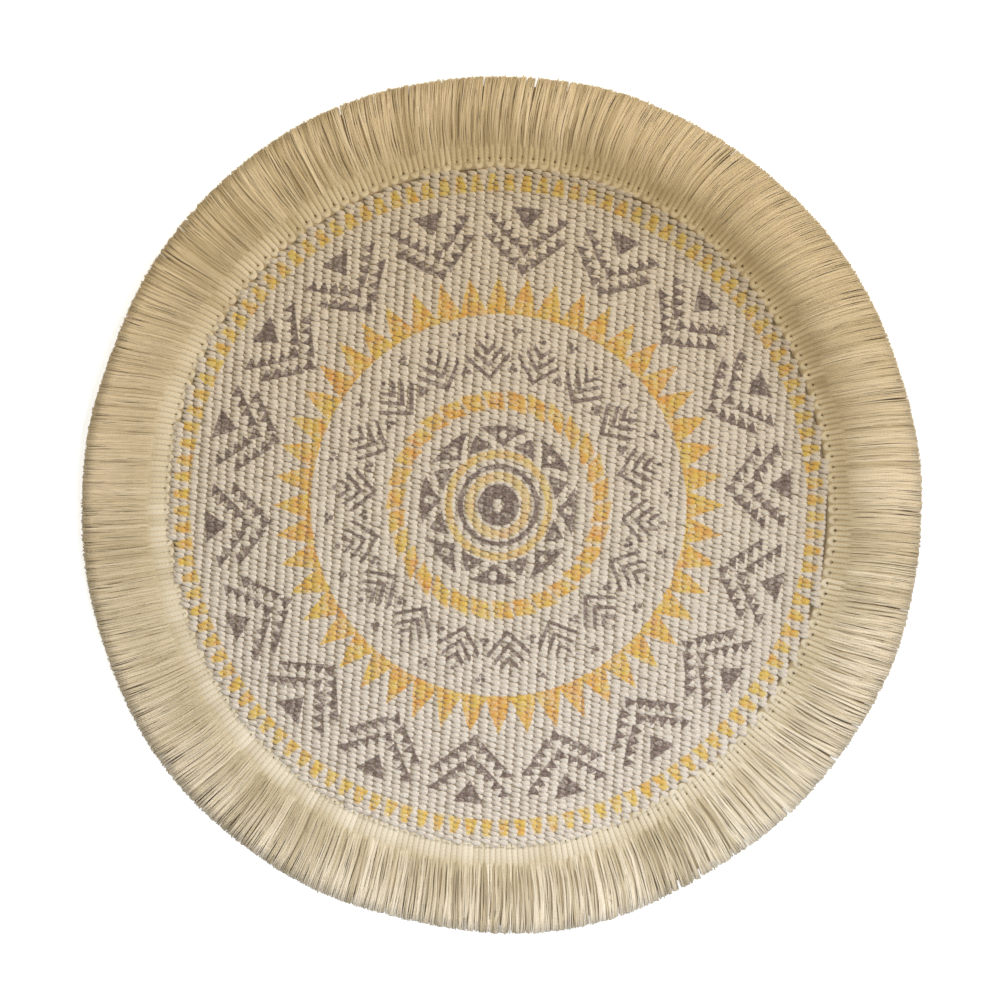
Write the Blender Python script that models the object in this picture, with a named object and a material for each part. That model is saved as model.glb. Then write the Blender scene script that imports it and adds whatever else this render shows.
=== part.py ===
"""Round fabric placemat with a fringed trim, lying flat.

Units are metres and +Z is up. The mat lies on Z = 0 with the middle of its outline on the
Z axis; seen from above, +X is to the right and +Y is the far side. Angles are counted from
+X towards +Y. Two sewn pieces make the mat:

cloth   the woven disc, whose thick cords raise ribs that run nearly along Y
fringe  the trim sewn round its edge: a heading of looped yarn, which joins the roots of
        the locks that hang out of it and lie level on the surface
"""

import math
import random

import bmesh
import bpy

MM = 0.001

# Cloth
CLOTH_THICKNESS = 3.0 * MM       # over the ribs, away from the edge
RIB_PITCH = 4.13 * MM
RIB_HEIGHT = 0.7 * MM
RIB_LEAN = math.radians(3.7)     # the ribs lean from +Y towards +X
EDGE_SLOPE = 14.0 * MM           # the width of the rim that thins towards the seam
EDGE_DROP = 0.8 * MM
CAP_STEPS = 6                    # arc steps past the outermost rib on each side
SEAM_GAP = 0.3 * MM              # between the cloth's edge and the heading

# Heading
LOOP_COUNT = 198
LOOP_NOTCH = 1.4 * MM            # how far the notch between two loops reaches outwards
LOOP_ROUNDING = 0.5 * MM
NOTCH_DEPTH = 0.9 * MM
HEADING_WIDTH = 8.5 * MM
HEADING_HEIGHT = 3.3 * MM

# Locks
LOCK_MARGIN = 0.08               # from a lock's side to the middle of the notch, in loops
LOCK_ROOT_HEIGHT = 3.0 * MM
LOCK_TIP_HEIGHT = 1.7 * MM
LOCK_NARROWING = 0.30            # the share of its width that a lock's top loses by its tip
LOCK_STEPS = 3
LEAN_GROWTH = 0.5                # a lock's lean grows with this power of its run
TRIM_SPREAD = 0.6 * MM           # how unevenly the tips are cut
TRIM_SEED = 7

# The rim as it lies, uneven by a few millimetres. Radii are in millimetres; lean is how far
# the tips lean round the rim, in degrees, towards growing angles.
RIM_COLUMNS = ("angle", "heading", "tip", "lean")
RIM_ROWS = (
    (0, 146.2, 188.1, -5),
    (20, 146.2, 188.3, -13),
    (40, 147.7, 189.6, -21),
    (60, 149.3, 190.6, -17),
    (80, 150.0, 191.3, -8),
    (100, 150.2, 191.8, -11),
    (120, 149.5, 192.0, -6),
    (140, 148.9, 190.2, 2),
    (160, 148.2, 188.0, 14),
    (180, 147.5, 188.2, 1),
    (200, 147.7, 188.4, -8),
    (220, 149.3, 190.7, -5),
    (240, 150.4, 191.2, 7),
    (260, 150.6, 190.6, 5),
    (280, 151.2, 191.8, -6),
    (300, 148.6, 188.8, -5),
    (320, 148.0, 188.7, 8),
    (340, 147.3, 188.7, 8),
)

CLOTH_COLOUR = (0.57, 0.50, 0.39, 1.0)
FRINGE_COLOUR = (0.58, 0.48, 0.32, 1.0)
COTTON_ROUGHNESS = 0.9


def clear_scene():
    for item in list(bpy.data.objects):
        bpy.data.objects.remove(item, do_unlink=True)


def cotton(name, colour):
    material = bpy.data.materials.new(name)
    material.use_nodes = True
    shader = material.node_tree.nodes["Principled BSDF"]
    shader.inputs["Base Color"].default_value = colour
    shader.inputs["Roughness"].default_value = COTTON_ROUGHNESS
    shader.inputs["Metallic"].default_value = 0.0
    return material


def add_piece(name, bm, material):
    """Turn a closed bmesh into a named object."""
    bmesh.ops.recalc_face_normals(bm, faces=bm.faces[:])
    mesh = bpy.data.meshes.new(name)
    bm.to_mesh(mesh)
    bm.free()
    mesh.materials.append(material)
    piece = bpy.data.objects.new(name, mesh)
    bpy.context.scene.collection.objects.link(piece)
    return piece


def rim(angle, column):
    """A column of the rim's table at any angle, on a smooth closed curve through its rows."""
    field = RIM_COLUMNS.index(column)
    count = len(RIM_ROWS)
    step = 2.0 * math.pi / count
    place = (angle % (2.0 * math.pi)) / step
    row = int(place)
    t = place - row
    before, start, end, after = (RIM_ROWS[(row + k) % count][field] for k in (-1, 0, 1, 2))
    slope_in = 0.5 * (end - before)
    slope_out = 0.5 * (after - start)
    return (start * (2 * t**3 - 3 * t**2 + 1) + slope_in * (t**3 - 2 * t**2 + t)
            + end * (3 * t**2 - 2 * t**3) + slope_out * (t**3 - t**2))


def heading_radius(angle):
    return rim(angle, "heading") * MM


def cloth_radius(angle):
    return heading_radius(angle) - SEAM_GAP


def rib_frame(across, along):
    """XY of a point counted across the ribs and along them."""
    return (across * math.cos(RIB_LEAN) + along * math.sin(RIB_LEAN),
            along * math.cos(RIB_LEAN) - across * math.sin(RIB_LEAN))


def rib_end(across, side):
    """Where a line along the ribs meets the cloth's edge, on its +1 or -1 side."""
    near, far = 0.0, 2.0 * cloth_radius(0.0)
    for _ in range(40):
        middle = 0.5 * (near + far)
        x, y = rib_frame(across, side * middle)
        if math.hypot(x, y) < cloth_radius(math.atan2(y, x)):
            near = middle
        else:
            far = middle
    return side * near


def cloth_top(x, y, is_valley):
    """The height of the cloth's face: it thins towards the seam, and dips between ribs."""
    to_edge = cloth_radius(math.atan2(y, x)) - math.hypot(x, y)
    share = min(max(to_edge / EDGE_SLOPE, 0.0), 1.0)
    drop = EDGE_DROP * (1.0 - share) ** 2
    return CLOTH_THICKNESS - drop - (RIB_HEIGHT if is_valley else 0.0)


def build_cloth():
    """Strips of face between a valley and the next ridge, a flat underside and the edge."""
    bm = bmesh.new()

    def vertex(x, y, z):
        return bm.verts.new((x, y, z))

    line_gap = 0.5 * RIB_PITCH
    reach = min(cloth_radius(0.0), cloth_radius(math.pi))
    outermost = int(reach / line_gap) - 1
    lines = []
    for number in range(-outermost, outermost + 1):
        across = number * line_gap
        is_valley = number % 2 == 0
        low, high = rib_end(across, -1), rib_end(across, 1)
        inset = min(EDGE_SLOPE, 0.3 * (high - low))
        tops = []
        for along in (low, low + inset, high - inset, high):
            x, y = rib_frame(across, along)
            tops.append(vertex(x, y, cloth_top(x, y, is_valley)))
        floor = [vertex(*rib_frame(across, along), 0.0) for along in (low, high)]
        lines.append((tops, floor))

    for (tops_a, floor_a), (tops_b, floor_b) in zip(lines, lines[1:]):
        for k in range(len(tops_a) - 1):
            bm.faces.new((tops_a[k], tops_b[k], tops_b[k + 1], tops_a[k + 1]))
        bm.faces.new((floor_a[0], floor_a[1], floor_b[1], floor_b[0]))
        bm.faces.new((floor_a[0], floor_b[0], tops_b[0], tops_a[0]))
        bm.faces.new((floor_a[1], floor_b[1], tops_b[-1], tops_a[-1]))

    for tops, floor in (lines[0], lines[-1]):
        start = math.atan2(floor[0].co.y, floor[0].co.x)
        end = math.atan2(floor[1].co.y, floor[1].co.x)
        turn = (end - start + math.pi) % (2.0 * math.pi) - math.pi
        arc_tops, arc_floor = [tops[0]], [floor[0]]
        for k in range(1, CAP_STEPS):
            angle = start + turn * k / CAP_STEPS
            radius = cloth_radius(angle)
            x, y = radius * math.cos(angle), radius * math.sin(angle)
            arc_tops.append(vertex(x, y, cloth_top(x, y, True)))
            arc_floor.append(vertex(x, y, 0.0))
        arc_tops.append(tops[-1])
        arc_floor.append(floor[1])
        bm.faces.new(arc_tops + tops[-2:0:-1])
        bm.faces.new(arc_floor)
        for k in range(CAP_STEPS):
            bm.faces.new((arc_floor[k], arc_floor[k + 1], arc_tops[k + 1], arc_tops[k]))
    return add_piece("cloth", bm, cotton("cloth_cotton", CLOTH_COLOUR))


def polar(angle, radius, z):
    return (radius * math.cos(angle), radius * math.sin(angle), z)


def loop_angle(place):
    """The angle of a place counted in loops round the rim."""
    return 2.0 * math.pi * place / LOOP_COUNT


def lock_corner(place, is_top, run, trims):
    """A corner of a lock's section: run goes from 0 at the root to 1 at the tip."""
    lock = int(place)
    middle = lock + 0.5
    if is_top:
        place = middle + (place - middle) * (1.0 - LOCK_NARROWING * run)
    angle = loop_angle(place)
    root = heading_radius(angle) + HEADING_WIDTH
    length = rim(angle, "tip") * MM + trims[lock] - root
    radius = root + length * run
    growth = 1.0 + LEAN_GROWTH
    lean = math.tan(math.radians(rim(angle, "lean")))
    sideways = lean * length * run**growth / growth
    height = LOCK_ROOT_HEIGHT + (LOCK_TIP_HEIGHT - LOCK_ROOT_HEIGHT) * run
    return polar(angle + sideways / radius, radius, height if is_top else 0.0)


def build_fringe():
    """The heading as a closed band of loops, and a lock drawn out of each loop's back."""
    bm = bmesh.new()
    place_of = bm.verts.layers.float.new("place")
    is_top = bm.verts.layers.int.new("is_top")

    def vertex(place, outwards, z, top):
        angle = loop_angle(place)
        made = bm.verts.new(polar(angle, heading_radius(angle) + outwards, z))
        made[place_of] = place
        made[is_top] = top
        return made

    def station(place, inner_out, inner_height, outer_height):
        """The band's section at one place: inner floor and top, outer top and floor."""
        return (vertex(place, inner_out, 0.0, 0), vertex(place, inner_out, inner_height, 1),
                vertex(place, HEADING_WIDTH, outer_height, 1),
                vertex(place, HEADING_WIDTH, 0.0, 0))

    loops = []
    for loop in range(LOOP_COUNT):
        notch = station(loop, LOOP_NOTCH, HEADING_HEIGHT - NOTCH_DEPTH,
                        LOCK_ROOT_HEIGHT - NOTCH_DEPTH)
        sides = [station(loop + offset, LOOP_ROUNDING, HEADING_HEIGHT, LOCK_ROOT_HEIGHT)
                 for offset in (LOCK_MARGIN, 1.0 - LOCK_MARGIN)]
        nose = vertex(loop + 0.5, 0.0, HEADING_HEIGHT, 1)
        loops.append((notch, sides[0], nose, sides[1]))

    roots = []
    for loop, (notch, left, nose, right) in enumerate(loops):
        next_notch = loops[(loop + 1) % LOOP_COUNT][0]
        for near, far in ((notch, left), (right, next_notch)):
            for k in range(4):
                bm.faces.new((near[k], near[(k + 1) % 4], far[(k + 1) % 4], far[k]))
        bm.faces.new((left[0], left[1], nose, right[1], right[0]))
        bm.faces.new((left[1], left[2], right[2], right[1], nose))
        bm.faces.new((left[3], left[0], right[0], right[3]))
        roots.append(bm.faces.new((left[2], left[3], right[3], right[2])))

    spread = random.Random(TRIM_SEED)
    trims = [spread.uniform(-TRIM_SPREAD, TRIM_SPREAD) for _ in range(LOOP_COUNT)]
    ends = roots
    for step in range(1, LOCK_STEPS + 1):
        ends = bmesh.ops.extrude_discrete_faces(bm, faces=ends)["faces"]
        for end in ends:
            for corner in end.verts:
                corner.co = lock_corner(corner[place_of], corner[is_top], step / LOCK_STEPS,
                                        trims)
    return add_piece("fringe", bm, cotton("fringe_cotton", FRINGE_COLOUR))


def centre_outline(pieces):
    """Bring the middle of the outline onto the Z axis."""
    points = [vertex.co for piece in pieces for vertex in piece.data.vertices]
    middle_x = 0.5 * (min(p.x for p in points) + max(p.x for p in points))
    middle_y = 0.5 * (min(p.y for p in points) + max(p.y for p in points))
    for point in points:
        point.x -= middle_x
        point.y -= middle_y


def main():
    clear_scene()
    pieces = [build_cloth(), build_fringe()]
    centre_outline(pieces)


main()
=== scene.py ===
"""The looks of the round fabric placemat: its weave, print, heading and fringe.

Lengths are in metres unless a name or a table says millimetres. Angles are counted from +X
towards +Y, as in the frame, and the mat is seen from straight above.
"""

import math

import bmesh
import bpy
import numpy as np
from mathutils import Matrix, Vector


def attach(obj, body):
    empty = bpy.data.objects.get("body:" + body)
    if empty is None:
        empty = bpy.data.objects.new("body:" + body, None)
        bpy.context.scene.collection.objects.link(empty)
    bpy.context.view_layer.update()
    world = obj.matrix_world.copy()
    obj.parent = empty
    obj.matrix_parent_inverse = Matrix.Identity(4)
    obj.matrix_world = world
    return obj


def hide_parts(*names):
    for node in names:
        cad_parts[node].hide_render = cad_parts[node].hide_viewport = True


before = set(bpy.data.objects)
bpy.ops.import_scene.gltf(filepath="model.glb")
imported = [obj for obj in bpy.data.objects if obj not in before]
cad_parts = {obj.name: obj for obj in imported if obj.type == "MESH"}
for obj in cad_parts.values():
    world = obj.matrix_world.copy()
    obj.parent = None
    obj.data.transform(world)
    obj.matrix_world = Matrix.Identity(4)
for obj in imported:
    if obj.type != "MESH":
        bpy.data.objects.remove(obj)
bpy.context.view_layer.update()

MM = 0.001

# ---------------------------------------------------------------- sizes of the cloth

RIB_PITCH = 4.13 * MM            # from one cord to the next
RIB_LEAN = math.radians(3.7)     # the ribs lean from +Y towards +X
FLOAT_PITCH = 2.283 * MM         # along a rib
FLOAT_SHIFT = 0.543              # each rib to the right starts lower, in float pitches
FLOAT_SLANT = math.radians(-13.0)
FLOAT_HALF = (3.1 * MM, 1.25 * MM, 1.0 * MM)
FLOAT_HEIGHT = 1.95 * MM         # the middle of a float above the table
FLOAT_TILT = math.radians(21.0)  # a float's right end lies over the next cord
FLOAT_FULLNESS = 0.82            # below 1, a float is plumper than an oval
FLOAT_LOWEST = 0.25 * MM         # no float comes nearer to the table
FLOAT_COLUMNS = (-38, 38)        # first column, and the one after the last
FLOAT_ROWS = (-92, 93)
EDGE_SLOPE = 19.0 * MM           # the cloth rises a little over this width to its seam
GROUND_HEIGHT = 1.6 * MM
SEAM_GAP = 0.3 * MM              # from the cloth's edge to the heading's inner edge

# name, first column, and the one after the last
WEAVE_PIECES = (("weave_left", -99, -10), ("weave_middle", -10, 11), ("weave_right", 11, 99))

# ---------------------------------------------------------------- sizes of the trim

LOOP_COUNT = 198
STRAND_COUNT = 2 * LOOP_COUNT
THREADS_IN_STRAND = 24
THREAD_RADIUS = 0.29 * MM
STRAND_RADIUS = 1.14 * MM
THREAD_LAYERS = 3
THREAD_RINGS = 7
THREAD_START = 5.0 * MM          # outwards from the heading's inner edge
THREAD_DROP = 5.0 * MM           # how far the lowest threads sink at the cut tips
LOOP_OUTS = (19.0, 15.5, 12.2, 9.2, 6.8, 4.8, 3.6, 2.6)      # a leg's rings, in millimetres
LOOP_TURNS = (90.0, 50.0, 17.0, -17.0, -50.0, -90.0)         # its end's rings, in degrees
LOOP_LENGTH = 1.35               # of the round end, in half widths
STITCH_HALF = (0.62, 0.42, 0.4)  # in millimetres
LEAN_START = 8.0 * MM            # where the yarns begin to lean
LEAN_RUNS = (7.0 * MM, 10.0 * MM)
PUFF_HEIGHT = 6.7 * MM
TIP_HEIGHT = 6.6 * MM
CORE_OUTS = (-0.1, 1.5, 4.0, 8.0, 12.0, 16.0, 20.0, 26.0, 32.0, 37.0, 40.0)  # in millimetres
CORE_AXIS = 100.0                # the radius at which its section is turned, in millimetres
CORE_EVEN = 20.0 * MM            # past this it follows the cut tips
CORE_SHORT = 3.0 * MM            # and ends this far inside them

# The rim as it lies, in millimetres from the mat's middle: the heading's inner edge and the
# fringe's cut tips.
RIM_COLUMNS = ("angle", "heading", "tip")
RIM_ROWS = (
    (0, 146.2, 187.1),
    (20, 146.2, 187.9),
    (40, 147.7, 189.0),
    (60, 149.3, 189.8),
    (80, 150.0, 189.9),
    (100, 150.2, 190.3),
    (120, 149.5, 191.1),
    (140, 148.9, 189.2),
    (160, 148.2, 186.1),
    (180, 147.5, 186.8),
    (200, 147.7, 187.1),
    (220, 149.3, 190.7),
    (240, 150.4, 190.8),
    (260, 150.6, 190.6),
    (280, 151.2, 191.4),
    (300, 148.6, 188.3),
    (320, 148.0, 188.7),
    (340, 147.3, 188.0),
)

# How the fringe's yarns lean round the rim, in degrees, near the heading, half way out and
# near the cut tips.
LEAN_COLUMNS = ("angle", "near", "middle", "far")
LEAN_ROWS = (
    (0, -0.5, -2.7, -5.9),
    (20, -9, -10, -13),
    (40, -7, -15, -22),
    (50, -4, -13, -25),
    (60, 0, -12, -16),
    (80, 2.5, -4.5, -8),
    (100, -3, -9, -12),
    (120, 1, -2, -6),
    (140, 6.5, 5, 0),
    (150, 10, 14, 9),
    (160, 11, 15.5, 12),
    (170, 9, 10, 8),
    (180, 2, 0.5, 1),
    (200, -6.5, -6, -10),
    (220, 4, -6, -4),
    (240, 9, 8, 7),
    (260, 6, 5, 4),
    (280, 0, -6, -7),
    (290, 2, -5, -10),
    (300, 3, -4, -5),
    (320, 4, 7, 9.5),
    (330, 4, 7, 11),
    (340, 6, 9, 7),
    (350, 6, 4, 2),
)

# How far the looped ends stand up from the cloth (1) or lie level with it (0), how far out of
# the heading's inner edge the row of stitches runs, in millimetres, how strongly the cut yarns
# stay apart as tufts, how much painted shade the imported yarns near the heading and the floats
# beside the seam get, and how much painted shade the cut yarns get; negative values paint light.
HEADING_COLUMNS = ("angle", "stand", "stitch", "tuft", "heading_painted_shade", "shade")
HEADING_ROWS = (
    (0, 1.0, 3.6, 0.7, 0.75, -0.1),
    (20, 1.0, 2.9, 0.5, 1, 0),
    (40, 1.0, 3.4, 0.4, 1.05, 0),
    (60, 0.9, 4.0, 0.5, 1.1, -0.05),
    (80, 0.8, 5.1, 1.2, 0.75, -0.2),
    (100, 0.7, 4.0, 1.3, 0.5, -0.25),
    (120, 0.5, 3.8, 1.3, 0.3, -0.15),
    (140, 0.25, 3.1, 0.9, 0.1, 0),
    (160, 0.1, 2.5, 0.6, 0, 0.03),
    (180, 0.05, 2.2, 0.4, 0, 0.1),
    (200, 0.05, 1.3, 0.4, 0, 0.15),
    (220, 0.0, 1.9, 0.6, -0.05, 0.2),
    (240, 0.0, 1.8, 1.0, -0.05, 0.22),
    (260, 0.0, 1.2, 1.3, 0, 0.12),
    (280, 0.15, 1.8, 1.4, 0, 0.03),
    (300, 0.5, 5.0, 1.5, 0, -0.05),
    (320, 0.8, 5.2, 1.4, 0.1, -0.15),
    (340, 0.95, 3.6, 1.1, 0.35, -0.15),
)


def smooth_table(rows, columns, column, angle):
    """A column of a table with rows at even angles, on a smooth closed curve."""
    values = np.array([row[columns.index(column)] for row in rows], dtype=float)
    place = np.mod(np.asarray(angle, dtype=float), 2.0 * math.pi) / (2.0 * math.pi / len(rows))
    row = np.floor(place).astype(int) % len(rows)
    t = place - np.floor(place)
    before, start, end, after = (values[(row + k) % len(rows)] for k in (-1, 0, 1, 2))
    slope_in = 0.5 * (end - before)
    slope_out = 0.5 * (after - start)
    return (start * (2 * t**3 - 3 * t**2 + 1) + slope_in * (t**3 - 2 * t**2 + t)
            + end * (3 * t**2 - 2 * t**3) + slope_out * (t**3 - t**2))


def rim(column, angle):
    return smooth_table(RIM_ROWS, RIM_COLUMNS, column, angle) * MM


def heading(column, angle):
    return smooth_table(HEADING_ROWS, HEADING_COLUMNS, column, angle)


def lean(column, angle):
    """The tangent of the yarns' lean."""
    degrees = [row[0] for row in LEAN_ROWS]
    leans = [row[LEAN_COLUMNS.index(column)] for row in LEAN_ROWS]
    return np.tan(np.radians(np.interp(np.degrees(angle), degrees, leans, period=360.0)))


def ease(low, high, value):
    """From 0 at low to 1 at high, smoothly."""
    t = np.clip((value - low) / (high - low), 0.0, 1.0)
    return t * t * (3.0 - 2.0 * t)


# ---------------------------------------------------------------- finishes

def linear(red, green, blue):
    """A colour given as it is seen on a screen, 0 to 255."""
    channels = []
    for value in (red, green, blue):
        share = value / 255.0
        channels.append(share / 12.92 if share <= 0.04045 else ((share + 0.055) / 1.055) ** 2.4)
    return (*channels, 1.0)


class Amount:
    """A number that changes over a surface. Sums and products of amounts add Math nodes."""

    def __init__(self, finish, socket):
        self.finish = finish
        self.socket = socket

    def _math(self, operation, *values, clamp=False):
        settings = {"operation": operation, "use_clamp": clamp}
        return self.finish.node("ShaderNodeMath", settings, dict(enumerate(values)))

    def __add__(self, other):
        return self._math("ADD", self, other)

    __radd__ = __add__

    def __sub__(self, other):
        return self._math("SUBTRACT", self, other)

    def __rsub__(self, other):
        return self._math("SUBTRACT", other, self)

    def __mul__(self, other):
        return self._math("MULTIPLY", self, other)

    __rmul__ = __mul__

    def __truediv__(self, other):
        return self._math("DIVIDE", self, other)

    def __abs__(self):
        return self._math("ABSOLUTE", self)

    def __or__(self, other):
        return self._math("MAXIMUM", self, other)

    def __and__(self, other):
        return self._math("MINIMUM", self, other)

    def sine(self):
        return self._math("SINE", self)

    def cosine(self):
        return self._math("COSINE", self)

    def root(self):
        return self._math("SQRT", self)

    def angle_from(self, other):
        return self._math("ARCTAN2", self, other)

    def fold(self, first, pitch):
        """The distance from the nearest of evenly spaced places, with its sign."""
        turned = self._math("FLOORED_MODULO", self + (0.5 * pitch - first), pitch)
        return turned - 0.5 * pitch

    def clamped(self):
        return self._math("ADD", self, 0.0, clamp=True)

    def inside(self, soft):
        """1 where the amount is above zero, with a soft edge of that width."""
        return self._math("MULTIPLY_ADD", self, 1.0 / soft, 0.5, clamp=True)

    def ramp(self, low, high):
        """0 below low and 1 above high, smoothly."""
        settings = {"interpolation_type": "SMOOTHSTEP"}
        values = {"Value": self, "From Min": low, "From Max": high}
        return self.finish.node("ShaderNodeMapRange", settings, values)


class Finish:
    """A material and the nodes that make it."""

    def __init__(self, name):
        self.material = bpy.data.materials.new(name)
        self.material.use_nodes = True
        self.tree = self.material.node_tree
        self.shader = self.tree.nodes["Principled BSDF"]

    def node(self, kind, settings=None, values=None, output=0):
        """Add a node: its settings are set first, then its inputs are set or linked."""
        made = self.tree.nodes.new(kind)
        for name, value in (settings or {}).items():
            setattr(made, name, value)
        for name, value in (values or {}).items():
            self.plug(made.inputs[name], value)
        return Amount(self, made.outputs[output])

    def plug(self, socket, value):
        if isinstance(value, Amount):
            self.tree.links.new(value.socket, socket)
        else:
            socket.default_value = value

    def set(self, **values):
        """Inputs of the shader, named with underscores for spaces."""
        for name, value in values.items():
            self.plug(self.shader.inputs[name.replace("_", " ")], value)
        return self.material

    def place(self):
        return self.node("ShaderNodeTexCoord", output="Object")

    def split(self, vector):
        parts = self.node("ShaderNodeSeparateXYZ", values={0: vector})
        outputs = parts.socket.node.outputs
        return [Amount(self, outputs[k]) for k in range(3)]

    def attribute(self, name):
        settings = {"attribute_type": "GEOMETRY", "attribute_name": name}
        return self.node("ShaderNodeAttribute", settings, output="Vector")

    def vector(self, operation, *values):
        settings = {"operation": operation}
        return self.node("ShaderNodeVectorMath", settings, dict(enumerate(values)))

    def scaled(self, vector, factor):
        return self.node("ShaderNodeVectorMath", {"operation": "SCALE"},
                         {0: vector, "Scale": factor})

    def blend_places(self, share, a, b):
        return self.node("ShaderNodeMix", {"data_type": "VECTOR"}, {0: share, 4: a, 5: b},
                         output=1)

    def mix(self, share, a, b, how="MIX"):
        """From colour a to colour b."""
        return self.node("ShaderNodeMix", {"data_type": "RGBA", "blend_type": how},
                         {0: share, 6: a, 7: b}, output=2)

    def noise(self, vector, size, detail=2.0):
        """Soft noise round 0.5 whose lumps are about that size in metres."""
        return self.node("ShaderNodeTexNoise", {"noise_dimensions": "3D"},
                         {"Vector": vector, "Scale": 1.0 / size, "Detail": detail})

    def chance(self, vector):
        """A number from 0 to 1, the same over all places that share a vector."""
        return self.node("ShaderNodeTexWhiteNoise", {"noise_dimensions": "3D"}, {0: vector})

    def brighten(self, colour, factor):
        grey = self.node("ShaderNodeCombineXYZ", values={0: factor, 1: factor, 2: factor})
        return self.mix(1.0, colour, grey, "MULTIPLY")

    def with_painted_warm_light(self, colour, place, share, more=0.0):
        """Painted warm light: a little warmer towards the mat's far side."""
        _, y, _ = self.split(place)
        tint = self.mix((y * 4.2 + 0.36 + more).clamped() * share, PLAIN, PAINTED_WARM_LIGHT)
        return self.mix(1.0, colour, tint, "MULTIPLY")

    # Painted shade: a colour multiplied by a browner tint, by a share.
    def with_painted_shade(self, colour, share):
        return self.mix(1.0, colour, self.mix(share, PLAIN, PAINTED_SHADE_TINT), "MULTIPLY")

    def bump(self, height, distance, strength=1.0):
        return self.node("ShaderNodeBump", None, {"Height": height, "Distance": distance,
                                                  "Strength": strength})


# The print, drawn as rings, rays, chevrons, dots and rows of triangles round a centre.
# Radii, widths and heights are in millimetres, and angles in degrees.
PRINT_CENTRE = (-1.03, -0.54)
PRINT_STRETCH = (0.9905, 1.0095)
EDGE = 0.5                       # how softly the ink ends

# inner radius, outer radius, how much ink
YELLOW_RINGS = ((10.7, 14.8, 0.62), (21.0, 24.4, 0.77))
# The broad ring's slanting blocks: inner and outer radius, first angle, pitch, half width
YELLOW_BLOCKS = (42.7, 50.3, 7.9, 12.0, 4.9)
BLOCK_SLANT = (0.36, 0.12, 0.08)  # in degrees for each millimetre outwards, and how it varies
BLOCK_RISE = 0.5                 # how far a block climbs outwards with its slant
BLOCK_SOFT = (1.1, 0.9)          # how softly its sides and its ends end
BLOCK_GAP_INK = 0.15             # the share of ink that stays between two blocks
GREY_RINGS = ((2.7, 9.3), (16.1, 18.3))
# first angle, pitch, apex radius, base radius, half width of the base, dot radius, dot size
TRIANGLE_STARS = (
    (85.5, 45.0, 26.1, 35.0, 16.5, 31.4, 2.2),
    (108.1, 45.0, 32.4, 25.8, 11.5, 28.7, 1.2),
)
STAR_BLEED = 0.3                 # how far their ink runs over their outlines
# apex radius, half width, slope of the arms
CHEVRON_START = (14.0, 20.0)
CHEVRONS = ((56.5, 9.7, 1.01), (62.4, 6.6, 1.075), (67.9, 3.8, 1.155))
CHEVRON_STROKE = 1.7
# sideways from the axis, radius, size
CHEVRON_DOTS = ((0.0, 74.8, 1.05),)
BETWEEN_START = (4.0, 20.0)
BETWEEN_DOTS = ((1.28, 77.8, 1.0), (0.0, 75.9, 1.0), (0.0, 62.1, 1.1), (1.26, 60.3, 1.1))
# first angle, pitch, base radius, tip radius, half width of the base, where the ray is cut off,
# and how softly it ends
YELLOW_RAYS = ((0.0, 7.5, 84.7, 101.8, 4.15, 101.8, 0.5),
               (0.95, 3.0, 139.3, 153.5, 1.16, 146.6, 0.8))
FAN_BLEED = 0.4                  # how far the fans' ink runs over their outlines
FAN_TRIANGLE = (132.0, 123.1, 6.4)       # base, apex, half width
FAN_ROWS = (102.5, 111.3)                # where each row of teeth starts
FAN_SPREAD = math.radians(41.6)
FAN_APEX = (0.585, 4.25)
FAN_TEETH = (5.27, 4.79, 4, 4.2, 0.36)  # start, pitch, count, height, place of the peak


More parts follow.
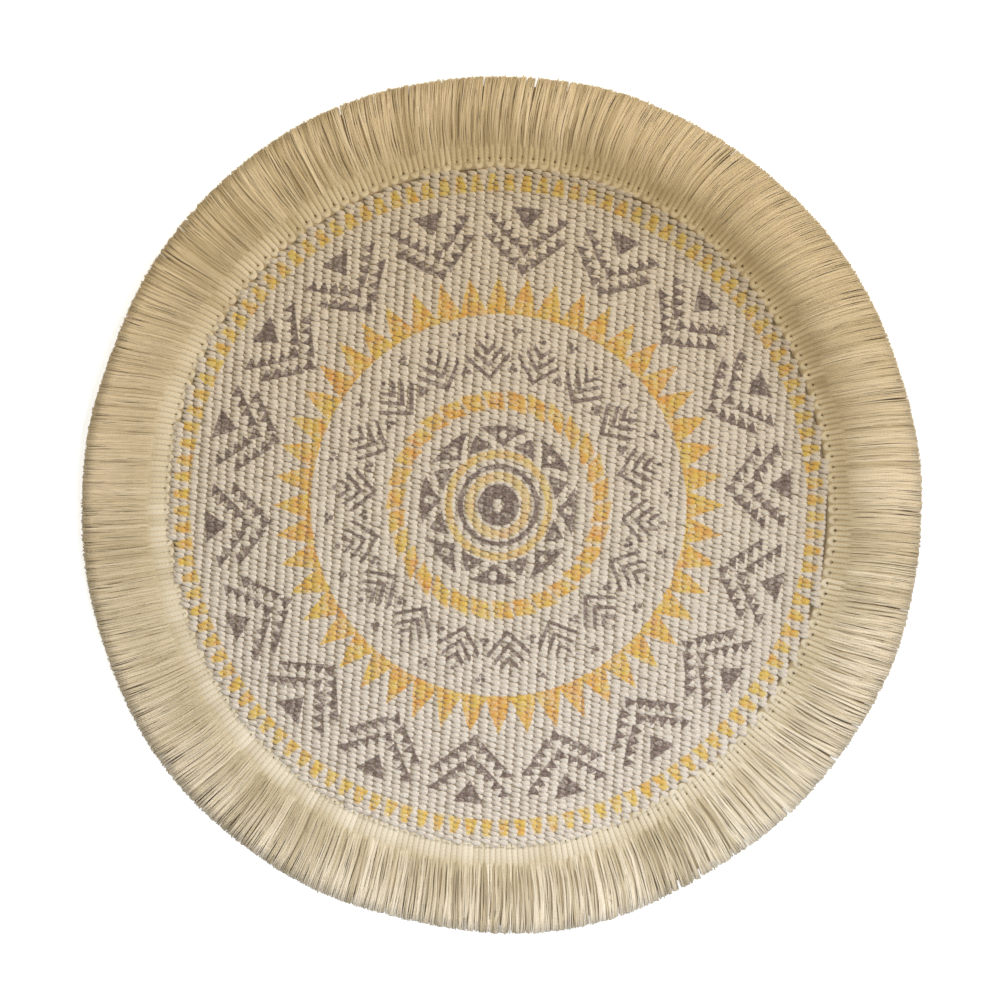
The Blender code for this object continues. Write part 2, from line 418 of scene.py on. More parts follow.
def printed_inks(finish, place):
    """How much yellow ink and how much grey ink the print lays at a place, each 0 to 1."""
    across, along, _ = finish.split(place)
    x = (across * 1000.0 - PRINT_CENTRE[0]) / PRINT_STRETCH[0]
    y = (along * 1000.0 - PRINT_CENTRE[1]) / PRINT_STRETCH[1]
    radius = (x * x + y * y).root()
    angle = y.angle_from(x) * math.degrees(1.0)

    def band(inner, outer):
        return ((radius - inner) & (outer - radius)).inside(EDGE)

    def axis(first, pitch):
        """Sideways distance and distance outwards from the nearest axis of a repeat."""
        turn = angle.fold(first, pitch) * math.radians(1.0)
        return abs(radius * turn.sine()), radius * turn.cosine()

    def dot(sideways, outwards, middle, size):
        du = sideways - middle[0]
        dv = outwards - middle[1]
        return size - (du * du + dv * dv).root()

    inner, outer, first, pitch, half = YELLOW_BLOCKS
    twice = (angle * math.radians(2.0)).sine() * BLOCK_SLANT[2]
    fourfold = (angle * math.radians(4.0)).cosine() * BLOCK_SLANT[1]
    slant = twice - fourfold + BLOCK_SLANT[0]
    turn = (angle - slant * (radius - 0.5 * (inner + outer))).fold(first, pitch)
    block = ((half - abs(turn)) * radius * math.radians(1.0)).inside(BLOCK_SOFT[0])
    level = radius - slant * turn * BLOCK_RISE
    ends = ((level - inner) & (outer - level)).inside(BLOCK_SOFT[1])
    yellow = ends * (block * (1.0 - BLOCK_GAP_INK) + BLOCK_GAP_INK)
    for inner, outer, share in YELLOW_RINGS:
        yellow = yellow | band(inner, outer) * share
    for first, pitch, base, tip, half, cut, soft in YELLOW_RAYS:
        turn = abs(angle.fold(first, pitch))
        side = (tip - radius) * (half / (tip - base)) - turn
        ray = (side * radius * math.radians(1.0)) & (radius - base) & (cut - radius)
        yellow = yellow | ray.inside(soft)

    grey = band(*GREY_RINGS[0]) | band(*GREY_RINGS[1])
    for first, pitch, apex, base, half, dot_radius, dot_size in TRIANGLE_STARS:
        turn = abs(angle.fold(first, pitch))
        side = (radius - apex) * (half / (base - apex)) - turn
        end = (base - radius) if base > apex else (radius - base)
        sideways, outwards = axis(first, pitch)
        bare = dot(sideways, outwards, (0.0, dot_radius), dot_size)
        shape = (side * radius * math.radians(1.0)) & end & (0.0 - bare)
        grey = grey | (shape + STAR_BLEED).inside(EDGE)

    sideways, outwards = axis(*CHEVRON_START)
    for apex, reach, slope in CHEVRONS:
        from_line = abs((outwards - apex) - sideways * slope) * (1.0 / math.hypot(1.0, slope))
        stroke = (0.5 * CHEVRON_STROKE - from_line) & (reach - sideways)
        grey = grey | stroke.inside(EDGE)
    for middle_u, middle_v, size in CHEVRON_DOTS:
        grey = grey | dot(sideways, outwards, (middle_u, middle_v), size).inside(EDGE)

    sideways, outwards = axis(*BETWEEN_START)
    for middle_u, middle_v, size in BETWEEN_DOTS:
        grey = grey | dot(sideways, outwards, (middle_u, middle_v), size).inside(EDGE)

    base, apex, half = FAN_TRIANGLE
    fan = ((outwards - apex) * (half / (base - apex)) - sideways) & (base - outwards)
    start, pitch, count, height, peak = FAN_TEETH
    for row in FAN_ROWS:
        rise = outwards - row
        run = sideways * math.cos(FAN_SPREAD) + rise * math.sin(FAN_SPREAD)
        above = rise * math.cos(FAN_SPREAD) - sideways * math.sin(FAN_SPREAD)
        inner = (rise * FAN_APEX[0] - sideways) & (FAN_APEX[1] - rise)
        share = (run - start).fold(0.5 * pitch, pitch) * (1.0 / pitch) + 0.5
        flank = (share * (1.0 / peak)) & ((1.0 - share) * (1.0 / (1.0 - peak)))
        within = (run - start) & (start + pitch * count - run)
        teeth = (flank * height - above) & above & within
        fan = fan | inner | teeth
    grey = grey | (fan + FAN_BLEED).inside(EDGE)
    return yellow, grey


PAINTED_WARM_LIGHT = (1.0, 0.91, 0.74, 1.0)       # painted warm light towards the mat's far side
PAINTED_SHADE_TINT = (0.58, 0.52, 0.42, 1.0)       # painted shade near the heading, a browner darkening
PLAIN = (1.0, 1.0, 1.0, 1.0)

# COTTON_SHADE is the dark end of the floats' tone, used for random tone and for painted shade.
COTTON = linear(246, 235, 225)
COTTON_SHADE = linear(187, 172, 154)
YELLOW_INK = linear(232, 198, 94)
OCHRE_INK = linear(232, 165, 78)
GREY_INK = linear(166, 142, 132)
GREY_INK_DEEP = linear(72, 57, 55)


def woven_finish():
    """The floats: cream cotton, with the two inks on their crests."""
    finish = Finish("printed_weave")
    place = finish.place()
    centre = finish.attribute("float_centre")
    shape = finish.attribute("float_shape")
    along, across, up = finish.split(shape)
    # Painted shade on the floats near the seam, beside the standing loops.
    heading_painted_shade, _, _ = finish.split(finish.attribute("float_painted_shade"))
    x, y, _ = finish.split(place)
    reach = (x * x + y * y).root() * 1000.0

    fibre = finish.noise(place, 0.55 * MM, 3.0)
    bleed = finish.noise(place, 1.2 * MM, 2.0)
    speck = finish.noise(place, 0.42 * MM, 2.0)
    luck = finish.chance(centre)
    drift = finish.noise(place, 34.0 * MM, 2.0)
    blot = finish.noise(place, 4.5 * MM, 2.0)

    twist = ((along * 2.6 + across * 1.5 + luck) * (2.0 * math.pi)).sine()
    # Painted highlight on each float's top and right end, mixed with random tone and fibre grain.
    crown = up * 0.55 + along * 0.35
    float_tone_and_painted_highlight = (luck * 0.30 + fibre * 1.0 - crown * 0.50 + 0.04).clamped()
    natural = finish.mix(float_tone_and_painted_highlight, COTTON, COTTON_SHADE)
    plies = ((across * 0.95 + along * 0.5 + luck * 0.4) * (2.0 * math.pi)).cosine()
    # Painted light on each float's upper right side and painted shade on its lower left side.
    painted_light_side = across * 0.13 + along * 0.07 + (across + along).clamped() * 0.06
    natural = finish.brighten(natural, 0.98 + painted_light_side + twist * 0.03 + plies * 0.09)
    # Painted warm light towards the mat's far side.
    natural = finish.with_painted_warm_light(natural, place, 0.85)

    blocky = finish.blend_places(0.15, place, centre)
    wander = finish.vector("SUBTRACT", finish.node(
        "ShaderNodeTexNoise", None, {"Vector": place, "Scale": 1.0 / (1.3 * MM), "Detail": 1.0},
        output="Color"), (0.5, 0.5, 0.5))
    blocky = finish.vector("ADD", blocky, finish.scaled(wander, 0.5 * MM))
    yellow, grey = printed_inks(finish, blocky)

    crest = (up * 0.9 + along * 0.35).ramp(-0.45, 0.35)
    patchy = (bleed * 0.9 + fibre * 1.1 + luck * 0.25 - 0.33).ramp(0.50, 0.90)
    olive = ((abs(reach - 82.0) - 42.0) * 0.05).clamped() * 0.25
    ochre = blot * 2.6 + drift * 0.9 + luck * 0.3 + fibre * 1.2 - 2.12 - olive
    yellow_tone = finish.mix(ochre.clamped(), YELLOW_INK, OCHRE_INK)
    grey_tone = finish.mix((fibre * 2.0 - 0.5).clamped(), GREY_INK_DEEP, GREY_INK)
    colour = finish.mix(yellow * crest * (patchy * 0.70 + 0.29), natural, yellow_tone)
    colour = finish.mix(grey * (crest * 0.55 + 0.45) * (patchy * 0.65 + 0.38), colour, grey_tone)
    # Painted shade near the seam, then a fine speckle.
    colour = finish.brighten(finish.with_painted_shade(colour, heading_painted_shade), speck * 0.50 + 0.76)

    relief = finish.bump(twist * 0.3 + plies * 0.5 + fibre * 1.2, 0.12 * MM, 0.9)
    return finish.set(Base_Color=colour, Roughness=fibre * 0.15 + 0.82, Normal=relief,
                      Specular_IOR_Level=0.25, Sheen_Weight=0.12, Sheen_Roughness=0.5)


def ground_finish():
    """The cords under the floats, and the plain back of the weave."""
    finish = Finish("weave_ground")
    place = finish.place()
    x, y, _ = finish.split(place)
    across = x * math.cos(RIB_LEAN) - y * math.sin(RIB_LEAN)
    along = x * math.sin(RIB_LEAN) + y * math.cos(RIB_LEAN)
    ribs = ((across * (2.0 * math.pi / RIB_PITCH)).cosine() * -0.5) + 0.5
    floats = ((along / FLOAT_PITCH + across * (FLOAT_SHIFT / RIB_PITCH))
              * (2.0 * math.pi)).sine() * 0.5 + 0.5
    fibre = finish.noise(place, 0.5 * MM, 3.0)
    # Painted shade: darker in the grooves between cords and floats, with a painted shadow of the
    # heading beside the seam on the upper right side.
    colour = finish.mix(ribs * 0.5 + floats * 0.3, linear(160, 143, 118), linear(198, 182, 156))
    ground_painted_shadow = (((x * x + y * y).root() - 142.5 * MM) * 300.0).clamped()
    colour = finish.mix(ground_painted_shadow * ((x * 0.87 + y * 0.5) * 15.0).clamped(), colour,
                        linear(134, 116, 92))
    relief = finish.bump(ribs * 0.7 + floats * ribs + fibre * 0.3, 0.5 * MM)
    return finish.set(Base_Color=colour, Roughness=fibre * 0.1 + 0.87, Normal=relief,
                      Specular_IOR_Level=0.2)


# YARN_SHADE is the dark end of the yarn's tone, used for random tone and for painted shade.
YARN = linear(251, 238, 218)
YARN_SHADE = linear(213, 196, 165)
# The core's colours are darker than the yarn's: painted shade for the depth between the threads.
CORE = linear(207, 190, 163)
CORE_SHADE = linear(178, 158, 126)
# Sewing thread coloured dark as painted shade for the stitch holes.
STITCH_HOLE_SHADE = linear(104, 88, 66)
STITCH_HOLE_DEEP_SHADE = linear(84, 70, 52)


def yarn_finish(name, light, shade, rope):
    """Natural cotton yarn, whose tone goes by strand and by thread, and carries painted shade."""
    finish = Finish(name)
    place = finish.place()
    tone, run, turn = finish.split(finish.attribute("yarn_tone"))
    fibre = finish.noise(place, 0.5 * MM, 3.0)
    patch = finish.noise(place, 26.0 * MM, 1.0)
    share = (tone + fibre * 0.3 + patch * 0.5 - 0.4).clamped()
    # Tone past 1 is painted shade near the heading, as a browner tint.
    colour = finish.with_painted_shade(finish.mix(share, light, shade), (tone - 1.0).clamped())
    # Painted warm light towards the mat's far side, reaching further on the outer fringe.
    colour = finish.with_painted_warm_light(colour, place, 1.0, (run * 50.0 - 0.8).clamped() * 0.22)
    twist = ((run * 620.0 + turn * 2.0 + fibre * 0.5) * (2.0 * math.pi)).sine()
    colour = finish.brighten(colour, 0.77 + twist * rope + fibre * 0.46)
    relief = finish.bump(twist * rope * 12.0 + fibre * 0.8, 0.08 * MM, 0.7)
    return finish.set(Base_Color=colour, Roughness=fibre * 0.15 + 0.75, Normal=relief,
                      Specular_IOR_Level=0.3, Sheen_Weight=0.15, Sheen_Roughness=0.45)


def floor_finish():
    finish = Finish("pale_floor")
    speck = finish.noise(finish.place(), 90.0 * MM, 1.0)
    colour = finish.mix(speck, (0.90, 0.90, 0.90, 1.0), (0.92, 0.92, 0.92, 1.0))
    return finish.set(Base_Color=colour, Roughness=0.9, Specular_IOR_Level=0.1,
                      Emission_Color=(0.90, 0.94, 1.0, 1.0), Emission_Strength=0.60)


# ---------------------------------------------------------------- making pieces

def piece_of(mesh, name, material, nodes):
    """Show a mesh as a piece of the mat, with a flat chart of it as seen from above."""
    mesh.materials.clear()
    mesh.materials.append(material)
    mesh.shade_smooth()
    points = np.empty(len(mesh.vertices) * 3)
    mesh.vertices.foreach_get("co", points)
    points = points.reshape(-1, 3)[:, :2]
    corners = np.empty(len(mesh.loops), dtype=int)
    mesh.loops.foreach_get("vertex_index", corners)
    low = points.min(axis=0)
    span = points.max(axis=0) - low
    chart = mesh.uv_layers.new(name="OFBake")
    chart.data.foreach_set("uv", ((points - low) / span)[corners].ravel())
    piece = bpy.data.objects.new(name, mesh)
    bpy.context.scene.collection.objects.link(piece)
    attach(piece, "root")
    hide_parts(*nodes)
    return piece


def copies_of(template, count):
    """One mesh that holds so many copies of a small mesh, one after another."""
    sample = bpy.data.objects.new("sample", template)
    bpy.context.scene.collection.objects.link(sample)
    row = sample.modifiers.new("row", "ARRAY")
    row.count = count
    row.use_relative_offset = False
    shown = sample.evaluated_get(bpy.context.evaluated_depsgraph_get())
    mesh = bpy.data.meshes.new_from_object(shown)
    bpy.data.objects.remove(sample)
    return mesh


def template_points(template):
    points = np.empty(len(template.vertices) * 3)
    template.vertices.foreach_get("co", points)
    return points.reshape(-1, 3)


def lay_points(mesh, points):
    mesh.vertices.foreach_set("co", points.reshape(-1))
    mesh.update()


def note(mesh, name, vectors):
    """Keep a vector on each point of a mesh, for its finish to read."""
    layer = mesh.attributes.new(name, "FLOAT_VECTOR", "POINT")
    layer.data.foreach_set("vector", np.ascontiguousarray(vectors, dtype=np.float32).ravel())


def mesh_from(bm, name):
    mesh = bpy.data.meshes.new(name)
    bm.to_mesh(mesh)
    bm.free()
    return mesh


def tube_template(sides, rings):
    """A closed tube of radius 1 along Z, whose rings lie at 0, 1, 2 and so on."""
    bm = bmesh.new()
    bmesh.ops.create_cone(bm, cap_ends=True, cap_tris=False, segments=sides, radius1=1.0,
                          radius2=1.0, depth=rings - 1.0)
    bmesh.ops.translate(bm, vec=(0.0, 0.0, 0.5 * (rings - 1.0)), verts=bm.verts[:])
    long_edges = [e for e in bm.edges if abs(e.verts[0].co.z - e.verts[1].co.z) > 0.5]
    if rings > 2:
        bmesh.ops.subdivide_edges(bm, edges=long_edges, cuts=rings - 2, use_grid_fill=True)
    return mesh_from(bm, "tube")


def yarns(paths, radii, sides, flat=1.0):
    """Tubes laid along paths, one row of points for each yarn, with a radius at each point."""
    count, rings, _ = paths.shape
    template = tube_template(sides, rings)
    unit = template_points(template)
    ring = np.rint(unit[:, 2]).astype(int)
    turn = np.arctan2(unit[:, 1], unit[:, 0])
    ahead = np.gradient(paths, axis=1)
    ahead /= np.linalg.norm(ahead, axis=2, keepdims=True)
    sideways = np.cross(ahead, (0.0, 0.0, 1.0))
    sideways /= np.linalg.norm(sideways, axis=2, keepdims=True)
    upwards = np.cross(sideways, ahead)
    thick = radii[:, ring, None]
    points = (paths[:, ring] + thick * (np.cos(turn)[:, None] * sideways[:, ring]
                                        + flat * np.sin(turn)[:, None] * upwards[:, ring]))
    mesh = copies_of(template, count)
    lay_points(mesh, points)
    return mesh, ring, turn


# ---------------------------------------------------------------- the woven disc

def cloth_radius(angle):
    return rim("heading", angle) - SEAM_GAP


def from_edge(x, y):
    """A place's angle, and how far inside the cloth's edge it lies."""
    angle = np.arctan2(y, x)
    return angle, cloth_radius(angle) - np.hypot(x, y)


def edge_rise(x, y):
    """How far the cloth is lifted towards its seam."""
    angle, to_edge = from_edge(x, y)
    share = np.clip(1.0 - to_edge / EDGE_SLOPE, 0.0, 1.0)
    return (0.4 + 1.3 * heading("stand", angle)) * MM * share ** 1.4


def beside_seam(x, y):
    """1 where the cloth lies level with the heading, at their seam, and 0 further in."""
    angle, to_edge = from_edge(x, y)
    return (1.0 - ease(2.0 * MM, 16.0 * MM, to_edge)) * (1.0 - heading("stand", angle)).clip(0.0)


def cloth_painted_shade(x, y):
    """How much painted shade the floats get near the seam, beside the standing loops."""
    angle, to_edge = from_edge(x, y)
    return heading("heading_painted_shade", angle) * (1.0 - ease(0.0, 20.0 * MM, to_edge)) * 0.5


def ground_sheet(material):
    """The closed disc that the floats lie in, turned from its section."""
    bm = bmesh.new()
    outline = [(share, 0.0) for share in np.linspace(0.0, 1.0, 9)]
    outline += [(share, 1.0) for share in np.linspace(1.0, 0.0, 17)]
    section = [bm.verts.new((x, 0.0, z)) for x, z in outline]
    edges = [bm.edges.new(pair) for pair in zip(section, section[1:])]
    bmesh.ops.spin(bm, geom=section + edges, cent=(0, 0, 0), axis=(0, 0, 1),
                   angle=2.0 * math.pi, steps=198, use_merge=True)
    bmesh.ops.remove_doubles(bm, verts=bm.verts[:], dist=1e-5)
    bmesh.ops.recalc_face_normals(bm, faces=bm.faces[:])
    for vertex in bm.verts:
        share = math.hypot(vertex.co.x, vertex.co.y)
        angle = math.atan2(vertex.co.y, vertex.co.x)
        radius = share * float(cloth_radius(angle))
        x, y = radius * math.cos(angle), radius * math.sin(angle)
        top = GROUND_HEIGHT + float(edge_rise(x, y) + 0.35 * MM * beside_seam(x, y))
        vertex.co = (x, y, top if vertex.co.z > 0.5 else 0.0)
    mesh = mesh_from(bm, "cloth_ground")
    return piece_of(mesh, "cloth_ground", material, ["cloth"])


def float_template():
    """One float of weft: a plump oval of radius 1, its poles at its two ends."""
    bm = bmesh.new()
    bmesh.ops.create_uvsphere(bm, u_segments=8, v_segments=5, radius=1.0)
    for vertex in bm.verts:
        x, y, z = vertex.co
        vertex.co = (z, x, y)
        girth = math.hypot(vertex.co.y, vertex.co.z)
        if girth > 0.01:
            fuller = girth ** FLOAT_FULLNESS / girth
            vertex.co.y *= fuller
            vertex.co.z *= fuller
    bmesh.ops.recalc_face_normals(bm, faces=bm.faces[:])
    return mesh_from(bm, "float")


def float_centres(luck):
    """Where each float lies: its column, X and Y."""
    column, row = np.meshgrid(np.arange(*FLOAT_COLUMNS), np.arange(*FLOAT_ROWS), indexing="ij")
    across = (column + 0.5) * RIB_PITCH
    along = (row - FLOAT_SHIFT * column) * FLOAT_PITCH
    across = across + 0.18 * MM * np.sin(along / (31.0 * MM) + 1.7 * column)
    x = across * math.cos(RIB_LEAN) + along * math.sin(RIB_LEAN)
    y = along * math.cos(RIB_LEAN) - across * math.sin(RIB_LEAN)
    stand = heading("stand", np.arctan2(y, x))
    kept = np.hypot(x, y) < cloth_radius(np.arctan2(y, x)) + (1.7 - 1.8 * stand) * MM
    column, x, y = column[kept], x[kept], y[kept]
    x = x + luck.normal(0.0, 0.09 * MM, x.size)
    y = y + luck.normal(0.0, 0.10 * MM, y.size)
    return column, x, y


def woven_floats(material):
    """The floats of the weave in three pieces, from left to right."""
    luck = np.random.default_rng(11)
    template = float_template()
    unit = template_points(template)
    column, x, y = float_centres(luck)
    count = x.size
    half = np.array(FLOAT_HALF) * (1.0 + luck.normal(0.0, 0.06, (count, 3)))
    tilt = FLOAT_TILT * (1.0 - 0.5 * beside_seam(x, y)) + luck.normal(0.0, 0.035, count)
    slant = FLOAT_SLANT - RIB_LEAN + luck.normal(0.0, 0.08, count)
    height = FLOAT_HEIGHT + luck.normal(0.0, 0.06 * MM, count) + edge_rise(x, y)

    local = unit[None] * half[:, None, :]
    local[..., 1] *= 1.0 + 0.50 * unit[None, :, 0]
    local[..., 1] += 0.55 * MM * np.minimum(unit[None, :, 0], 0.0) ** 2
    local[..., 2] -= 0.45 * MM * unit[None, :, 0] ** 2
    along = local[..., 0] * np.cos(tilt)[:, None] - local[..., 2] * np.sin(tilt)[:, None]
    up = local[..., 0] * np.sin(tilt)[:, None] + local[..., 2] * np.cos(tilt)[:, None]
    across = local[..., 1]
    points = np.empty((count, len(unit), 3))
    points[..., 0] = x[:, None] + along * np.cos(slant)[:, None] - across * np.sin(slant)[:, None]
    points[..., 1] = y[:, None] + along * np.sin(slant)[:, None] + across * np.cos(slant)[:, None]
    points[..., 2] = np.maximum(height[:, None] + up, FLOAT_LOWEST)

    pieces = []
    for name, low, high in WEAVE_PIECES:
        kept = (column >= low) & (column < high)
        mesh = copies_of(template, int(kept.sum()))
        lay_points(mesh, points[kept])
        centres = np.stack((x, y, luck.random(count)), axis=1)[kept]
        note(mesh, "float_centre", np.repeat(centres, len(unit), axis=0))
        note(mesh, "float_shape", np.tile(unit, (int(kept.sum()), 1)))
        # The painted shade near the seam, for the finish to read.
        heading_painted_shade = np.stack([cloth_painted_shade(x, y)] * 3, axis=1)[kept]
        note(mesh, "float_painted_shade", np.repeat(heading_painted_shade, len(unit), axis=0))
        pieces.append(piece_of(mesh, name, material, ["cloth"]))
    return pieces


# ---------------------------------------------------------------- the heading

def strand_line(strand, radius):
    """The angle of a strand at a radius, as the yarns lean round the rim."""
    start = 2.0 * math.pi * (strand + 0.5) / STRAND_COUNT
    root = rim("heading", start) + LEAN_START
    out = np.maximum(radius - root, 0.0)
    near, middle, far = (lean(column, start) for column in ("near", "middle", "far"))
    first, second = LEAN_RUNS
    run = np.minimum(out, first)
    turned = near * 0.35 * np.maximum(radius - (root - 6.0 * MM), 0.0).clip(0.0, 6.0 * MM)
    turned = turned + near * run
    run = np.clip(out - first, 0.0, second)
    turned = turned + near * run + (middle - near) * run * run / (2.0 * second)
    run = np.maximum(out - first - second, 0.0)
    turned = turned + middle * run + (far - middle) * run * run / (2.0 * second)
    return start + turned / radius


def painted_shade_tone(angle, out):
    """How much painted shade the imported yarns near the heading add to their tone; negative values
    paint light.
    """
    rise = 0.45 + 0.55 * ease(1.5 * MM, 6.0 * MM, out)
    return 0.85 * heading("heading_painted_shade", angle) * rise * (1.0 - 0.85 * ease(6.0 * MM, 19.0 * MM, out))


def trim_height(angle, out):
    """The top of the trim, counted outwards from the heading's inner edge."""
    stand = heading("stand", angle)
    inner = (2.7 + 2.1 * stand) * MM
    waist = (3.1 + 0.5 * stand) * MM
    height = inner + (waist - inner) * ease(1.0 * MM, 4.5 * MM, out)
    climb = np.clip((out - 4.0 * MM) / (17.0 * MM), 0.0, 1.0)
    climb = 0.6 * climb + 0.4 * climb * climb * (3.0 - 2.0 * climb)
    height = height + (PUFF_HEIGHT - waist) * climb
    return height + (TIP_HEIGHT - PUFF_HEIGHT) * ease(19.0 * MM, 44.0 * MM, out)


def heading_loops(material):
    """Each loop goes in along one strand, round its end and out along the other."""
    luck = np.random.default_rng(5)
    loop = np.arange(LOOP_COUNT)
    middle = 2.0 * math.pi * (loop + 0.5) / LOOP_COUNT
    inner = rim("heading", middle) + luck.normal(0.0, 0.18 * MM, LOOP_COUNT)
    stitch = heading("stitch", middle) * MM + luck.normal(0.0, 0.25 * MM, LOOP_COUNT)
    half = math.pi * inner / STRAND_COUNT

    outs = np.array(LOOP_OUTS) * MM
    arc = np.radians(np.array(LOOP_TURNS))
    straight = len(outs)
    ragged = luck.uniform(-0.45, 0.15, LOOP_COUNT)
    rings = 2 * straight + len(arc)
    radius = np.empty((LOOP_COUNT, rings))
    side = np.empty((LOOP_COUNT, rings))
    for ring in range(rings):
        if straight <= ring < straight + len(arc):
            turn = arc[ring - straight]
            end = LOOP_LENGTH * half + STRAND_RADIUS
            radius[:, ring] = inner + end - LOOP_LENGTH * half * math.cos(turn)
            side[:, ring] = math.sin(turn)
        else:
            out = outs[ring] if ring < straight else outs[rings - 1 - ring]
            radius[:, ring] = inner + out + ragged * max(out - 7.0 * MM, 0.0)
            side[:, ring] = 1.0 if ring < straight else -1.0
    out = radius - inner[:, None]
    bow = np.exp(-((out - stitch[:, None]) / (0.9 * MM)) ** 2)
    angle = np.empty_like(radius)
    for ring in range(rings):
        left = strand_line(2 * loop + 1, radius[:, ring])
        right = strand_line(2 * loop, radius[:, ring])
        share = 0.5 * (1.0 + side[:, ring] * (1.0 + 0.22 * bow[:, ring]))
        angle[:, ring] = right + (left - right) * share
    top = trim_height(middle[:, None], out) - 0.25 * MM * bow
    stand = heading("stand", middle)[:, None]
    thick = STRAND_RADIUS * (1.12 - 0.12 * stand - 0.10 * bow) * (radius / inner[:, None])
    thick = thick * (1.0 - 0.4 * ease(12.0 * MM, 18.0 * MM, out))
    thick = thick * (1.0 + luck.normal(0.0, 0.03, (LOOP_COUNT, 1)))
    flat = 0.42 + 0.38 * stand.clip(0.0)
    z = top - flat * thick - 1.2 * MM * ease(7.0 * MM, 18.0 * MM, out)
    paths = np.stack((radius * np.cos(angle), radius * np.sin(angle), z), axis=2)
    mesh, ring, turn = yarns(paths, thick, 8, flat[:, :, None])
    tone = np.empty((LOOP_COUNT, len(ring), 3))
    tone[..., 0] = luck.normal(0.60, 0.12, (LOOP_COUNT, 1)) - 0.15 * (1.0 - stand)
    # Painted shade: the loops' outer ends darkened to the cut yarns' tone, and the loops near the
    # heading darkened.
    joined = 0.35 + 0.15 * (1.0 - stand) + heading("shade", middle)[:, None]
    tone[..., 0] += joined * ease(5.0 * MM, 13.0 * MM, out[:, ring])
    tone[..., 0] += painted_shade_tone(middle[:, None], out[:, ring])
    tone[..., 1] = out[:, ring]
    tone[..., 2] = turn[None] / (2.0 * math.pi)
    note(mesh, "yarn_tone", tone.reshape(-1, 3))
    return piece_of(mesh, "heading_loops", material, ["fringe"])


def stitches(material):
    """One short stitch of sewing thread in each loop, coloured dark as painted shade for its stitch
    hole.
    """
    luck = np.random.default_rng(9)
    template = float_template()
    unit = template_points(template)
    middle = 2.0 * math.pi * (np.arange(LOOP_COUNT) + 0.5) / LOOP_COUNT
    out = heading("stitch", middle) * MM + luck.normal(0.0, 0.25 * MM, LOOP_COUNT)
    radius = rim("heading", middle) + out
    turn = strand_line(2.0 * np.arange(LOOP_COUNT) + 0.5, radius)[:, None]
    local = unit[None] * np.array(STITCH_HALF) * MM
    local = local * (1.0 + luck.normal(0.0, 0.15, (LOOP_COUNT, 1, 1)))
    local = local * (0.55 + 0.35 * heading("stand", middle))[:, None, None]
    along = radius[:, None] + local[..., 0]
    points = np.empty((LOOP_COUNT, len(unit), 3))
    points[..., 0] = along * np.cos(turn) - local[..., 1] * np.sin(turn)
    points[..., 1] = along * np.sin(turn) + local[..., 1] * np.cos(turn)
    points[..., 2] = (trim_height(middle, out) - 0.42 * MM)[:, None] + local[..., 2]
    mesh = copies_of(template, LOOP_COUNT)
    lay_points(mesh, points)
    note(mesh, "yarn_tone", np.tile(unit * 0.5 + 0.5, (LOOP_COUNT, 1)))
    return piece_of(mesh, "stitches", material, ["fringe"])


def trim_core(material):
    """The closed ring that the loops are sewn on, which fills the body of the fringe."""
    outs = np.array(CORE_OUTS)
    bm = bmesh.new()
    outline = [(x, 0.0) for x in (outs[0], 14.0, outs[-1])] + [(x, 1.0) for x in outs[::-1]]
    section = [bm.verts.new((x, 0.0, z)) for x, z in outline]
    edges = [bm.edges.new((section[k - 1], section[k])) for k in range(len(section))]
    bmesh.ops.spin(bm, geom=section + edges, cent=(-CORE_AXIS, 0, 0), axis=(0, 0, 1),
                   angle=2.0 * math.pi, steps=LOOP_COUNT, use_merge=True)
    bmesh.ops.remove_doubles(bm, verts=bm.verts[:], dist=1e-4)
    bmesh.ops.recalc_face_normals(bm, faces=bm.faces[:])
    tones = []
    for vertex in bm.verts:
        out = (math.hypot(vertex.co.x + CORE_AXIS, vertex.co.y) - CORE_AXIS) * MM
        angle = math.atan2(vertex.co.y, vertex.co.x + CORE_AXIS)
        inner = float(rim("heading", angle))
        reach = float(rim("tip", angle)) - inner - CORE_SHORT
        past = max(out - CORE_EVEN, 0.0)
        out = min(out, CORE_EVEN) + past * (reach - CORE_EVEN) / (20.0 * MM)
        stand, tuft = float(heading("stand", angle)), float(heading("tuft", angle))
        sunk = 0.45 + (0.35 + 0.35 * tuft) * float(ease(8.0 * MM, 16.0 * MM, out))
        sunk += 2.3 * float(ease(28.0 * MM, 37.5 * MM, out))
        sunk = sunk if out > 1.0 * MM else 0.5 + 1.0 * stand
        top = float(trim_height(angle, out)) - sunk * MM
        # Painted shade where the tufts open and near the heading, and a paler tone further out.
        tone = 0.6 + 0.4 * tuft * float(ease(8.0 * MM, 16.0 * MM, out))
        tones.append(tone + float(painted_shade_tone(angle, out) - 0.5 * ease(14.0 * MM, 34.0 * MM, out)))
        vertex.co = ((inner + out) * math.cos(angle), (inner + out) * math.sin(angle),
                     top if vertex.co.z > 0.5 else 0.0)
    mesh = mesh_from(bm, "trim_core")
    note(mesh, "yarn_tone", np.stack([tones] * 3, axis=1))
    return piece_of(mesh, "trim_core", material, ["fringe"])


# ---------------------------------------------------------------- the fringe

def wandering(luck, count, reach):
    """Closed random numbers that change slowly from one place to the next."""
    rough = luck.normal(0.0, 1.0, count)
    kernel = np.exp(-0.5 * (np.arange(-3 * reach, 3 * reach + 1) / reach) ** 2)
    smooth = np.convolve(np.tile(rough, 3), kernel, mode="same")[count:2 * count]
    return smooth / smooth.std()


